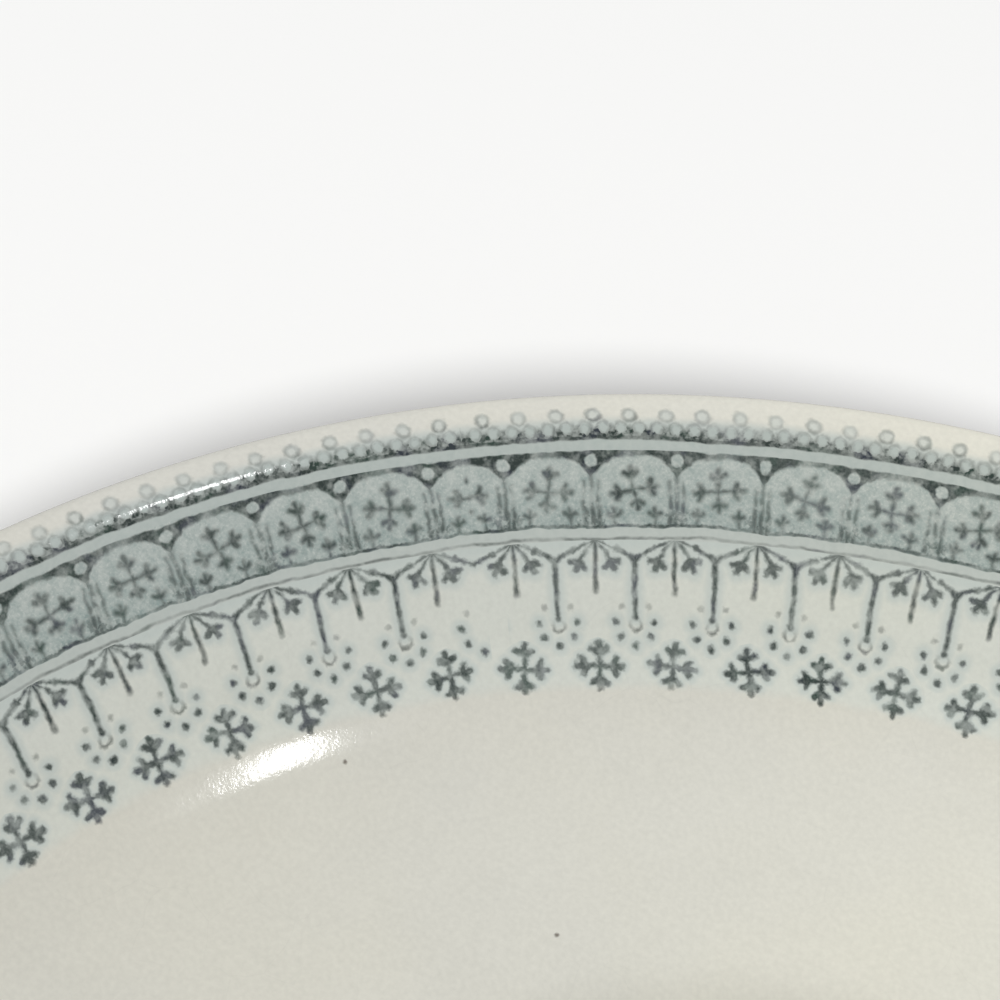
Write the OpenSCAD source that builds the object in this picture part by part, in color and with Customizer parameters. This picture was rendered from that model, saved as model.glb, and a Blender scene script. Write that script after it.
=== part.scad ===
// Tea saucer: a turned clay body with a foot ring, a printed border in four bands, and a clear glaze over both.
// Sizes are in millimetres, +Z is up, and the origin is the middle of the foot ring's bearing face.

/* [Overall size] */
// Diameter over the glazed lip
saucer_d = 150; // [140:1:190]
// Height of the clay from the bearing face to the top of the lip
saucer_h = 22; // [19:0.5:27]

/* [Lip and wall] */
// Width of the nearly level lip
lip_w = 2.1; // [1.8:0.1:4]
// Fall of the lip towards the middle, in degrees
lip_slope = 6; // [2:1:10]
// Thickness of the clay at the lip
lip_t = 2.4; // [2.1:0.1:3]
// Rounding of the lip's two edges
edge_round = 0.9; // [0.4:0.1:1]
// Rounding where the lip turns down into the wall
shoulder_round = 2.8; // [2:0.1:3.6]
// Width of the lip's underside
under_lip_w = 1.9; // [1.7:0.1:2.6]
// Rounding under the shoulder
under_shoulder_round = 2; // [0.5:0.5:2.5]
// Slope of the wall, in degrees
wall_slope = 40; // [36:1:46]
// Thickness of the clay at the foot of the wall
wall_t = 2.8; // [2.2:0.1:3.6]
// Rounding where the wall runs out into the floor
bend_round = 20; // [8:0.5:24]
// Rounding outside that bend
under_bend_round = 22; // [8:0.5:24]

/* [Floor and cup well] */
// Rise of the floor towards the wall, in degrees
floor_slope = 4; // [2:1:6]
// Thickness of the clay in the floor
floor_t = 3.2; // [2.4:0.1:4]
// Diameter of the shallow well that takes the cup's foot
well_d = 81; // [68:1:84]
// Depth of that well
well_depth = 1.5; // [1.3:0.1:2]
// Slope of the well's side, in degrees
well_slope = 34; // [16:1:37]
// Rounding at the top of the well's side
well_round = 4.5; // [1:0.5:5.5]
// Rounding at the foot of the well's side
well_foot_round = 2; // [1:0.5:3]

/* [Foot ring] */
// Outer diameter of the bearing face
foot_d = 88; // [74:1:92]
// Width of the bearing face
foot_w = 3.4; // [2.6:0.1:4.5]
// Height of the hollow inside the foot ring
foot_hollow = 3.3; // [3:0.1:5]
// Lean of the foot's two sides, in degrees
foot_draft = 14; // [6:1:20]
// Rounding of the bearing face's edges
foot_round = 0.7; // [0.3:0.1:1]
// Rounding where the foot meets the floor
root_round = 1.6; // [0.8:0.1:2]

/* [Glaze] */
// Thickness of the clear glaze
glaze_t = 0.25; // [0.15:0.05:0.35]
// Height of bare clay left above the bearing face
bare_h = 1.1; // [0.9:0.1:1.6]

/* [Printed border] */
// Thickness of the colour
film_t = 0.05; // [0.03:0.01:0.1]
// Distance from the lip's edge to the row of beads
border_from = 1.4; // [1:0.1:1.8]
// Width of the bead row with the pale line below it
bead_band_w = 3; // [2:0.1:3.6]
// Width of the arcade with the pale line below it
arcade_band_w = 5.4; // [3:0.1:6]
// Width of the fringe of fans and pendants
fringe_band_w = 6.6; // [3:0.1:7]
// Width of the row of florets
floret_band_w = 3; // [2:0.1:4]
// Bare clay between two bands
band_gap = 0.1; // [0.05:0.05:0.3]

/* [Hidden] */
$fn = 180;
clay_colour = [0.93, 0.9, 0.83];
glaze_colour = [0.88, 0.87, 0.8];
ink_colour = [0.36, 0.42, 0.41];
pale_ink_colour = [0.62, 0.68, 0.66];

edge_r = saucer_d / 2 - glaze_t;
foot_r = foot_d / 2;
well_r = well_d / 2;
well_z = foot_hollow + floor_t;
floor_z = well_z + well_depth;
// Room drawn past the outline by the shapes that trim it
margin = saucer_h;
// How far a rounding's circle stands past the edges that it joins, so that it meets them cleanly
blend = 0.0006;
// How much larger than its corner such a piece is drawn, across the edges
overdraw = 1.04;

function heading(angle) = [cos(angle), sin(angle)];
function unit(v) = v / norm(v);
function left_of(v) = [-v[1], v[0]];
// Where the line through p along u meets the line through q along v
function meet(p, u, q, v) = p + u * cross(q - p, v) / cross(u, v);
// A point moved down square to a line of this slope
function below(p, slope, depth) = p - left_of(heading(slope)) * depth;

lip_edge = [edge_r, saucer_h];
shoulder = lip_edge - lip_w * [1, tan(lip_slope)];
well_edge = [well_r, floor_z];
bend = meet(shoulder, heading(wall_slope), well_edge, heading(floor_slope));
well_foot = [well_r - well_depth / tan(well_slope), well_z];
under_lip = below(lip_edge, lip_slope, lip_t);
under_shoulder = meet(under_lip, heading(lip_slope), [edge_r - under_lip_w, 0], heading(90));
under_wall = below(bend, wall_slope, wall_t);
under_floor = below(well_edge, floor_slope, floor_t);
foot_outer = [foot_r, 0];
foot_inner = [foot_r - foot_w, 0];
// The shoulder's rounding, within what the edge's rounding leaves of the lip
edge_reach = (edge_round + glaze_t) * tan((90 - lip_slope) / 2) * overdraw;
shoulder_room = (lip_w / cos(lip_slope) - edge_reach) / tan((wall_slope - lip_slope) / 2) - glaze_t;
shoulder_fit = min(shoulder_round, shoulder_room);

// Corners of the clay's section, from the hollow under the foot round the outside to the cup well
corners = [
    [0, foot_hollow],
    meet(foot_inner, heading(90 + foot_draft), [0, foot_hollow], heading(0)),
    foot_inner,
    foot_outer,
    meet(foot_outer, heading(90 - foot_draft), under_floor, heading(floor_slope)),
    meet(under_floor, heading(floor_slope), under_wall, under_shoulder - under_wall),
    under_shoulder,
    meet(under_lip, heading(lip_slope), lip_edge, heading(90)),
    lip_edge,
    shoulder,
    bend,
    well_edge,
    well_foot,
    [0, well_z]
];
roundings = [
    0, root_round, foot_round, foot_round, root_round, under_bend_round, under_shoulder_round,
    edge_round, edge_round, shoulder_fit, bend_round, well_round, well_foot_round, 0
];
last = len(corners) - 1;

function edge_dir(i) = unit(corners[(i + 1) % len(corners)] - corners[i]);
// A point on edge i after the skin has grown by g; the edge on the axis stays where it is
function grown_edge(i, g) = corners[i] - left_of(edge_dir(i)) * (i == last ? 0 : g);
function before(i) = (i + last) % len(corners);
function grown_corner(i, g) = meet(grown_edge(before(i), g), edge_dir(before(i)), grown_edge(i, g), edge_dir(i));
function is_hollow_corner(i) = cross(edge_dir(before(i)), edge_dir(i)) < 0;
function grown_rounding(i, g) = roundings[i] + (is_hollow_corner(i) ? -g : g);

// The piece between a corner and its rounding
module corner_piece(i, g) {
    tip = grown_corner(i, g);
    back = -edge_dir(before(i));
    ahead = edge_dir(i);
    radius = grown_rounding(i, g);
    half = acos(back * ahead) / 2;
    reach = radius / tan(half);
    centre = tip + unit(back + ahead) * radius / sin(half);
    outline = [tip, tip + back * reach, centre, tip + ahead * reach];
    difference() {
        polygon([for (p = outline) centre + (p - centre) * overdraw]);
        translate(centre)
            circle(r = radius + blend);
    }
}

// Section of the clay, grown outwards by g
module section(g = 0) {
    difference() {
        union() {
            polygon([for (i = [0 : last]) grown_corner(i, g)]);
            for (i = [0 : last]) {
                if (roundings[i] > 0 && is_hollow_corner(i)) {
                    corner_piece(i, g);
                }
            }
        }
        for (i = [0 : last]) {
            if (roundings[i] > 0 && !is_hollow_corner(i)) {
                corner_piece(i, g);
            }
        }
    }
}

// Everything above the middle of the clay's thickness
module upper_side() {
    drop = [0, lip_t / 2];
    polygon([
        [0, well_z] - drop,
        well_foot - drop,
        well_edge - drop,
        bend - drop,
        shoulder - drop,
        lip_edge + [margin, 0] - drop,
        lip_edge + [margin, margin],
        [0, saucer_h + margin]
    ]);
}

// Inside of the foot ring
module foot_side() {
    translate([0, bare_h])
        square([foot_r - foot_w / 2, well_z - lip_t / 2 - bare_h]);
}

// Everything but the bare foot and the hollow inside it
module coated_side() {
    difference() {
        translate([0, bare_h])
            square([edge_r + margin, saucer_h + margin]);
        square([foot_r - foot_w / 2, well_z - lip_t / 2]);
    }
}

// Radius at a distance down the slope from the lip's edge
lip_run = lip_w / cos(lip_slope);
function radius_at(run) =
    run < lip_run ? edge_r - run * cos(lip_slope) : shoulder[0] - (run - lip_run) * cos(wall_slope);

bead_to = border_from + bead_band_w;
arcade_from = bead_to + band_gap;
arcade_to = arcade_from + arcade_band_w;
fringe_from = arcade_to + band_gap;
fringe_to = fringe_from + fringe_band_w;
floret_from = fringe_to + band_gap;
floret_to = floret_from + floret_band_w;

module band_section(run_from, run_to) {
    intersection() {
        difference() {
            section(film_t);
            section();
        }
        upper_side();
        translate([radius_at(run_to), 0])
            square([radius_at(run_from) - radius_at(run_to), saucer_h + margin]);
    }
}

module biscuit_body() {
    color(clay_colour)
        rotate_extrude()
            section();
}

module glaze_coat() {
    color(glaze_colour)
        rotate_extrude()
            difference() {
                intersection() {
                    section(glaze_t);
                    coated_side();
                }
                section();
                band_section(border_from, bead_to);
                band_section(arcade_from, arcade_to);
                band_section(fringe_from, fringe_to);
                band_section(floret_from, floret_to);
            }
}

module foot_hollow_glaze() {
    color(glaze_colour)
        rotate_extrude()
            intersection() {
                difference() {
                    section(glaze_t);
                    section();
                }
                foot_side();
            }
}

module bead_print() {
    color(ink_colour)
        rotate_extrude()
            band_section(border_from, bead_to);
}

module arcade_print() {
    color(pale_ink_colour)
        rotate_extrude()
            band_section(arcade_from, arcade_to);
}

module fringe_print() {
    color(ink_colour)
        rotate_extrude()
            band_section(fringe_from, fringe_to);
}

module floret_print() {
    color(ink_colour)
        rotate_extrude()
            band_section(floret_from, floret_to);
}

biscuit_body();
glaze_coat();
foot_hollow_glaze();
bead_print();
arcade_print();
fringe_print();
floret_print();
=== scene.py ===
import math

import bpy
import numpy as np
from mathutils import Matrix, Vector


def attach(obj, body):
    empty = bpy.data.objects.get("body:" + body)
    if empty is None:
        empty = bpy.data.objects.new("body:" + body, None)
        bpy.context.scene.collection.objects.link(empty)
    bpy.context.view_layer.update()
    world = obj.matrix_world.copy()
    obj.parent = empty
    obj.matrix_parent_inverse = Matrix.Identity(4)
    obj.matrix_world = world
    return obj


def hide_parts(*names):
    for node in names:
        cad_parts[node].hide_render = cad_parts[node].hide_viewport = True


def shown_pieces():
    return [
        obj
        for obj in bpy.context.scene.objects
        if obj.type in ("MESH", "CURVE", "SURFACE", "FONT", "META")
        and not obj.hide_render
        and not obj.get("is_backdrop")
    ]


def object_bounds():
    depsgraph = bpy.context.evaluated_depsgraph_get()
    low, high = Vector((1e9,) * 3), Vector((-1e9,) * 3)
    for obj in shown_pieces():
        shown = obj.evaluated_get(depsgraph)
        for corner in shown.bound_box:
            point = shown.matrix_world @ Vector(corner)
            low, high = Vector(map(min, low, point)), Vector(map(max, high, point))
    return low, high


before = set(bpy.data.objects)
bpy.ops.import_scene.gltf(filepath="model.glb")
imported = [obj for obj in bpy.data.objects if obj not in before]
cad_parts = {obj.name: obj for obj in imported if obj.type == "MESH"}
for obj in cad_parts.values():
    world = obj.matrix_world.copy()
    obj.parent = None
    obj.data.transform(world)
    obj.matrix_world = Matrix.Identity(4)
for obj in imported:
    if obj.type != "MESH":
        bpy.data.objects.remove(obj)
cad_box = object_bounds()
MM = 0.001

# Section of the clay, in millimetres and degrees, as in the CAD
SAUCER_D = 150.0
SAUCER_H = 22.0
LIP_W = 2.1
LIP_SLOPE = 6.0
LIP_T = 2.4
EDGE_ROUND = 0.9
SHOULDER_ROUND = 2.8
UNDER_LIP_W = 1.9
UNDER_SHOULDER_ROUND = 2.0
WALL_SLOPE = 40.0
WALL_T = 2.8
BEND_ROUND = 20.0
UNDER_BEND_ROUND = 22.0
FLOOR_SLOPE = 4.0
FLOOR_T = 3.2
WELL_R = 40.5
WELL_DEPTH = 1.5
WELL_SLOPE = 34.0
WELL_ROUND = 4.5
WELL_FOOT_ROUND = 2.0
FOOT_R = 44.0
FOOT_W = 3.4
FOOT_HOLLOW = 3.3
FOOT_DRAFT = 14.0
FOOT_ROUND = 0.7
ROOT_ROUND = 1.6
GLAZE_T = 0.25
BARE_H = 1.1

# Printed border: millimetres down the face from the lip's edge, and degrees from +Y towards +X
REPEATS = 80
FAN_ANGLE = -41.43
BEAD_FROM = 1.2
ARCADE_FROM = 4.1
FRINGE_FROM = 9.78
FLORET_FROM = 16.4
FLORET_TO = 19.4
# How far pendants and florets reach past each other
INTERLOCK = 0.62
# Beads and arches were laid in strips that don't quite meet: number of strips, and angle of one joint
STRIPS = 10
SEAM_ANGLE = -43.5
# Spacing in degrees, and in repeats where a strip starts and how much further on the next one does
ARCH_PITCH = 4.5925
ARCH_START = 0.58
BEADS_PER_ARCH = 3
BEAD_PITCH = 1.855
BEAD_START = 0.834
BEAD_STEP = 0.1964
# Height of the print over the glaze, and the share of it that is left at the border's edges
PRINT_LIFT = 0.02
EDGE_LIFT = 0.02
LIFT_RUN = 0.6
# The print wanders up and down in waves round the saucer, more at its foot than at its top
DRIFT_TURNS = 4
DRIFT_ANGLE = -43.0
DRIFT_TOP = 0.28
DRIFT_FOOT = 0.52
DRIFT_FROM = 11.0
DRIFT_TO = 14.8

# Dark grains seen in the glaze, by distance down the face and by angle
GRAINS = ((21.11, -53.51), (35.33, -43.05))

# Fineness of the meshes
ARC_STEP = math.radians(2.5)
LEAST_HALF_STEPS = 2
STRAIGHT_STEP = 2.0
EDGE_STEPS = 5
TURNS = 360
COLUMNS = 8 * REPEATS
SAME_PLACE = 1e-7
ON_AXIS = 1e-6
# Margins in a baked picture, as shares of its width and of one row's height
BAKE_SIDE = 0.004
BAKE_ROW = 0.06

# Camera, in millimetres and radians, with clips in metres
CAMERA_AT = (0.0, -46.53, 140.99)
CAMERA_PAN = -0.43887
CAMERA_TILT = 0.84633
CAMERA_ROLL = 0.11773
FOCAL_PX = 2600.0
PHOTO_PX = 1000.0
SENSOR_W = 36.0
CLIP_START = 0.005
CLIP_END = 20.0

# Stage, in metres; a lamp's share is of the light that shows plain white as white
STAGE_HALF = 1.6
SOFTBOX_AT = (0.05, 0.05, 0.95)
SOFTBOX_SIZE = (1.5, 1.5)
SOFTBOX_SHARE = 0.52
SOFTBOX_COLOUR = (0.985, 0.99, 1.1)
POOL_AT = (0.03, 0.06)
POOL_HEIGHT = 0.6
POOL_ANGLE = 23.5
POOL_SOFT = 0.08
POOL_SHARE = 0.41
POOL_COLOUR = (1.0, 0.995, 0.9)
GLINT_ON = np.array((-0.0503, 0.0327, 0.0098))
GLINT_FROM = np.array((0.43, 0.01, 0.903))
GLINT_DISTANCE = 0.9
GLINT_SIZE = (0.029, 0.122)
GLINT_ALONG = (0.839, -0.545, 0.0)
GLINT_SHARE = 0.037
FLOOR_LIGHT_AT = (0.781, -1.551, 1.798)
FLOOR_LIGHT_SIZE = (0.5, 0.5)
FLOOR_LIGHT_SHARE = 0.645
WORLD_STRENGTH = 0.42


# Section

def heading(angle):
    return np.array([math.cos(math.radians(angle)), math.sin(math.radians(angle))])


def left_of(v):
    return np.array([-v[1], v[0]])


def cross(a, b):
    return a[0] * b[1] - a[1] * b[0]


def turned(v, angle):
    c, s = math.cos(angle), math.sin(angle)
    return np.array([v[0] * c - v[1] * s, v[0] * s + v[1] * c])


def meet(p, u, q, v):
    """Where the line through p along u meets the line through q along v."""
    return p + u * cross(q - p, v) / cross(u, v)


def below(p, slope, depth):
    """A point moved down square to a line of this slope."""
    return p - left_of(heading(slope)) * depth


edge_r = SAUCER_D / 2 - GLAZE_T
well_z = FOOT_HOLLOW + FLOOR_T
lip_edge = np.array([edge_r, SAUCER_H])
shoulder = lip_edge - LIP_W * np.array([1.0, math.tan(math.radians(LIP_SLOPE))])
well_edge = np.array([WELL_R, well_z + WELL_DEPTH])
bend = meet(shoulder, heading(WALL_SLOPE), well_edge, heading(FLOOR_SLOPE))
well_foot = np.array([WELL_R - WELL_DEPTH / math.tan(math.radians(WELL_SLOPE)), well_z])
under_lip = below(lip_edge, LIP_SLOPE, LIP_T)
under_shoulder = meet(under_lip, heading(LIP_SLOPE), np.array([edge_r - UNDER_LIP_W, 0.0]), heading(90))
under_wall = below(bend, WALL_SLOPE, WALL_T)
under_floor = below(well_edge, FLOOR_SLOPE, FLOOR_T)
foot_outer = np.array([FOOT_R, 0.0])
foot_inner = np.array([FOOT_R - FOOT_W, 0.0])
hollow_top = np.array([0.0, FOOT_HOLLOW])
# Corners of the clay with their roundings, from the hollow under the foot round the outside to the cup well
corners = [
    (hollow_top, 0.0),
    (meet(foot_inner, heading(90 + FOOT_DRAFT), hollow_top, heading(0)), ROOT_ROUND),
    (foot_inner, FOOT_ROUND),
    (foot_outer, FOOT_ROUND),
    (meet(foot_outer, heading(90 - FOOT_DRAFT), under_floor, heading(FLOOR_SLOPE)), ROOT_ROUND),
    (meet(under_floor, heading(FLOOR_SLOPE), under_wall, under_shoulder - under_wall), UNDER_BEND_ROUND),
    (under_shoulder, UNDER_SHOULDER_ROUND),
    (meet(under_lip, heading(LIP_SLOPE), lip_edge, heading(90)), EDGE_ROUND),
    (lip_edge, EDGE_ROUND),
    (shoulder, SHOULDER_ROUND),
    (bend, BEND_ROUND),
    (well_edge, WELL_ROUND),
    (well_foot, WELL_FOOT_ROUND),
    (np.array([0.0, well_z]), 0.0),
]
FOOT_CORNER = 3
LIP_CORNER = 8


def glazed_outline():
    """Points of the glazed section as (r, z, normal r, normal z), and the corner each one belongs to."""
    places = [c[0] for c in corners]
    count = len(places)
    runs = [places[(i + 1) % count] - places[i] for i in range(count)]
    runs = [v / np.linalg.norm(v) for v in runs]
    rows, owner = [], []
    for i in range(count):
        a, b = runs[i - 1], runs[i]
        grow_a = 0.0 if i == 0 else GLAZE_T
        grow_b = 0.0 if i == count - 1 else GLAZE_T
        tip = meet(places[i - 1] - left_of(a) * grow_a, a, places[i] - left_of(b) * grow_b, b)
        if corners[i][1] == 0.0:
            rows.append((*tip, *-left_of(b if i == 0 else a)))
            owner.append(i)
            continue
        turn = math.atan2(cross(a, b), float(a @ b))
        side = 1.0 if turn > 0 else -1.0
        radius = corners[i][1] + side * GLAZE_T
        centre = tip - a * radius * math.tan(abs(turn) / 2) + left_of(a) * radius * side
        # An even number of steps, so that one point is the middle of the arc
        half_steps = max(LEAST_HALF_STEPS, math.ceil(abs(turn) / ARC_STEP / 2))
        for t in np.linspace(0.0, turn, 2 * half_steps + 1):
            n = turned(-left_of(a), t)
            rows.append((*(centre + n * radius * side), *n))
            owner.append(i)
    return np.array(rows), np.array(owner)


def refined(rows):
    """The same outline with its straight stretches cut into short ones."""
    out = [rows[0]]
    for p, q in zip(rows[:-1], rows[1:]):
        gap = math.hypot(q[0] - p[0], q[1] - p[1])
        if gap < SAME_PLACE:
            continue
        parts = max(1, math.ceil(gap / STRAIGHT_STEP))
        out.extend(p + (q - p) * k / parts for k in range(1, parts + 1))
    return np.array(out)


def cut_at_height(rows, z):
    """First point at which the outline crosses this height, with the index after it."""
    for i in range(len(rows) - 1):
        if (rows[i][1] - z) * (rows[i + 1][1] - z) < 0:
            t = (z - rows[i][1]) / (rows[i + 1][1] - rows[i][1])
            return i + 1, rows[i] + (rows[i + 1] - rows[i]) * t
    raise ValueError("the outline doesn't reach this height")


def rolled_edge(cut):
    """The glaze's rounded edge, from a point on its surface down to the clay."""
    out = cut[2:] / np.linalg.norm(cut[2:])
    down = left_of(out) if left_of(out)[1] < 0 else -left_of(out)
    rows = []
    for turn in np.linspace(0.0, math.pi / 2, EDGE_STEPS)[1:]:
        n = out * math.cos(turn) + down * math.sin(turn)
        rows.append((*(cut[:2] + (n - out) * GLAZE_T), *n))
    return np.array(rows)


outline, owner = glazed_outline()
# The skins stay within the CAD's height
outline[:, 1] = np.minimum(outline[:, 1], cad_box[1][2] / MM)
lip_arc = np.where(owner == LIP_CORNER)[0]
lip_mid = lip_arc[len(lip_arc) // 2]

# Height at which the glaze's surface is cut, so that its rolled edge ends at the top of the bare clay
lean = math.radians(FOOT_DRAFT)
edge_z = BARE_H + GLAZE_T * (math.cos(lean) - math.sin(lean))
inner_next, inner_cut = cut_at_height(outline, edge_z)
outer_start = np.where(owner == FOOT_CORNER)[0][0]
outer_next, outer_cut = cut_at_height(outline[outer_start:], edge_z)
hollow_rows = refined(np.vstack([outline[:inner_next], inner_cut, rolled_edge(inner_cut)]))
outside_rows = outline[outer_start + outer_next:lip_mid + 1]
back_rows = refined(np.vstack([rolled_edge(outer_cut)[::-1], outer_cut, outside_rows]))
face_rows = refined(outline[lip_mid:])

# Distance of each row of the face down from the lip's edge
face_steps = np.hypot(np.diff(face_rows[:, 0]), np.diff(face_rows[:, 1]))
face_run = np.concatenate([[0.0], np.cumsum(face_steps)])


def on_face(run):
    """r, z and normal on the glazed face at distances down from the lip's edge."""
    r, z, nr, nz = [np.interp(run, face_run, column) for column in face_rows.T]
    size = np.hypot(nr, nz)
    return r, z, nr / size, nz / size


# Meshes

def link(name, data):
    obj = bpy.data.objects.new(name, data)
    bpy.context.scene.collection.objects.link(obj)
    return obj


def smooth_mesh(name, points, normals, faces):
    mesh = bpy.data.meshes.new(name)
    mesh.from_pydata((points * MM).tolist(), [], faces)
    mesh.validate()
    mesh.polygons.foreach_set("use_smooth", [True] * len(mesh.polygons))
    mesh.normals_split_custom_set_from_vertices(normals.tolist())
    mesh.update()
    return mesh


def revolved(name, rows):
    """A skin turned about Z from outline rows; a row on the axis closes to a point."""
    angles = np.arange(TURNS) * 2 * math.pi / TURNS
    ring = np.stack([np.sin(angles), np.cos(angles)], axis=1)
    points, normals, starts = [], [], []
    for r, z, nr, nz in rows:
        starts.append(len(points))
        if r < ON_AXIS:
            points.append((0.0, 0.0, z))
            normals.append((0.0, 0.0, nz))
        else:
            points.extend((r * c[0], r * c[1], z) for c in ring)
            normals.extend((nr * c[0], nr * c[1], nz) for c in ring)
    faces = []
    for i in range(len(rows) - 1):
        a, b = starts[i], starts[i + 1]
        for k in range(TURNS):
            n = (k + 1) % TURNS
            if rows[i][0] < ON_AXIS:
                faces.append((a, b + k, b + n))
            elif rows[i + 1][0] < ON_AXIS:
                faces.append((a + k, b, a + n))
            else:
                faces.append((a + k, b + k, b + n, a + n))
    return link(name, smooth_mesh(name, np.array(points), np.array(normals), faces))


def drift(angle, down):
    """How far the print wanders down the wall at an angle."""
    share = np.clip((down - DRIFT_FROM) / (DRIFT_TO - DRIFT_FROM), 0.0, 1.0)
    size = DRIFT_TOP + (DRIFT_FOOT - DRIFT_TOP) * share
    return size * np.sin(np.radians(DRIFT_TURNS * (angle - DRIFT_ANGLE)))


def within(share, margin):
    """Moves a share from 0 to 1 inside a margin at both ends."""
    return margin + (1.0 - 2.0 * margin) * share


def printed_band(name, first_angle, top, foot, across, rows, bake_rows):
    """A film on the face between two edges given down the surface, with its pattern's own coordinates."""
    angles = first_angle + np.arange(COLUMNS + 1) * 360.0 / COLUMNS
    share = np.linspace(0.0, 1.0, rows + 1)
    upper, lower = top(angles), foot(angles)
    down = upper[:, None] + (lower - upper)[:, None] * share[None, :]
    r, z, nr, nz = on_face(down + drift(angles[:, None], down))
    inset = np.minimum(down - BEAD_FROM, FLORET_TO - down)
    lift = PRINT_LIFT * np.minimum(1.0, inset / LIFT_RUN + EDGE_LIFT)
    r, z = r + nr * lift, z + nz * lift
    s, c = np.sin(np.radians(angles))[:, None], np.cos(np.radians(angles))[:, None]
    points = np.stack([r * s, r * c, z], axis=2)[:-1].reshape(-1, 3)
    normals = np.stack([nr * s, nr * c, nz], axis=2)[:-1].reshape(-1, 3)
    faces, pattern, bake = [], [], []
    per_row = COLUMNS // bake_rows
    for i in range(COLUMNS):
        a, b = i * (rows + 1), (i + 1) % COLUMNS * (rows + 1)
        left, right = across(angles[i], angles[i + 1])
        line, place = divmod(i, per_row)
        for k in range(rows):
            faces.append((a + k, a + k + 1, b + k + 1, b + k))
            for u, ahead, step in ((left, 0, k), (left, 0, k + 1), (right, 1, k + 1), (right, 1, k)):
                pattern.append((u, down[i + ahead, step]))
                bake_u = within((place + ahead) / per_row, BAKE_SIDE)
                bake_v = (line + within(share[step], BAKE_ROW)) / bake_rows
                bake.append((bake_u, bake_v))
    mesh = smooth_mesh(name, points, normals, faces)
    for layer, values in (("print", pattern), ("OFBake", bake)):
        mesh.uv_layers.new(name=layer).data.foreach_set("uv", np.array(values).ravel())
    return link(name, mesh)


def strip_at(a, b):
    """Number and first angle of the strip that a column between two angles lies in."""
    span = 360.0 / STRIPS
    strip = math.floor(((a + b) / 2 - SEAM_ANGLE) / span)
    return strip, SEAM_ANGLE + strip * span


def arcade_across(a, b):
    """Pattern places of the arches at two angles of one column."""
    strip, start = strip_at(a, b)
    base = strip * (REPEATS // STRIPS) + ARCH_START
    return base + (a - start) / ARCH_PITCH, base + (b - start) / ARCH_PITCH


def bead_across(a, b):
    """Pattern places of the beads, whose spacing isn't tied to the arches."""
    strip, start = strip_at(a, b)
    base = strip * (REPEATS // STRIPS * BEADS_PER_ARCH + BEAD_STEP) + BEAD_START
    return base + (a - start) / BEAD_PITCH, base + (b - start) / BEAD_PITCH


def fringe_across(a, b):
    """Pattern places of the fans and florets, which run round without a joint."""
    return (a - FAN_ANGLE) * REPEATS / 360.0, (b - FAN_ANGLE) * REPEATS / 360.0


def level(value):
    return lambda angles: np.full(len(angles), value)


def interlocked(angles):
    """Edge between pendants and florets, which reach past each other."""
    return FLORET_FROM - INTERLOCK * np.cos(np.radians((angles - FAN_ANGLE) * REPEATS))


# Shading

def srgb(r, g, b):
    """The colour that shows as these values from 0 to 255."""
    def line(v):
        v /= 255.0
        return v / 12.92 if v <= 0.04045 else ((v + 0.055) / 1.055) ** 2.4
    return (line(r), line(g), line(b), 1.0)


CREAM = srgb(216, 214, 202)
CREAM_WARM = srgb(219, 217, 201)
CREAM_COOL = srgb(212, 212, 203)
SPECK = srgb(92, 82, 70)
INK = srgb(48, 59, 55)
INK_GREEN = srgb(50, 68, 60)
INK_BLUE = srgb(52, 58, 68)
WASH = srgb(114, 139, 136)
HALO = srgb(177, 192, 190)
HAZE = (1.03, 1.066, 1.078, 1.0)
CLAY = srgb(214, 204, 184)
CLAY_WARM = srgb(193, 178, 152)
CLAY_STAIN = srgb(150, 134, 112)
PAPER = srgb(248, 248, 247)
WHITE = (1.0, 1.0, 1.0, 1.0)

# Noises, as waves per metre and levels of detail
CLOUDS = (34.0, 3.0)
PATCHES = (210.0, 4.0)
GRAIN = (2900.0, 2.0)
CRAZE_BENDS = (300.0, 2.0)
CRAZE_AREAS = (90.0, 2.0)
SLOW_WAVES = (95.0, 2.0)
RIPPLES = (340.0, 2.0)
PEEL = (1700.0, 2.0)
SPARKLES = (5200.0, 1.0)
GRAIN_EDGES = (5000.0, 1.0)
BROAD_PUSH = (240.0, 1.0)
FINE_PUSH = (1100.0, 1.0)
INK_GRIT = (4600.0, 2.0)
INK_BLOTS = (2300.0, 2.0)
INK_MOTTLE = (1400.0, 2.0)
INK_SHADES = (520.0, 2.0)
INK_PATCHES = (330.0, 2.0)
INK_CLOUDS = (70.0, 1.0)
WASH_SALT = (7400.0, 1.0)
CLAY_CLOUDS = (120.0, 4.0)
CLAY_GRAIN = (3400.0, 3.0)
# Cells per metre
CRAZE_CELLS = 260.0
SPECK_CELLS = 75.0

# Gloss of the glaze, and its waves: their height in millimetres, and finer ones as shares of the slow ones
GLAZE_IOR = 1.5
LEAST_ROUGH = 0.05
ROUGH_SPREAD = 0.06
WAVE_H = 0.03
RIPPLE_SHARE = 0.2
PEEL_SHARE = 0.08
BEAD_PEEL_SHARE = 0.28
SPARKLE_SHARE = 0.072

# Width of one repeat of each printed band, in millimetres
BEAD_W = 2.33
ARCADE_W = 5.5
FRINGE_W = 5.05
FLORET_W = 4.75


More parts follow.
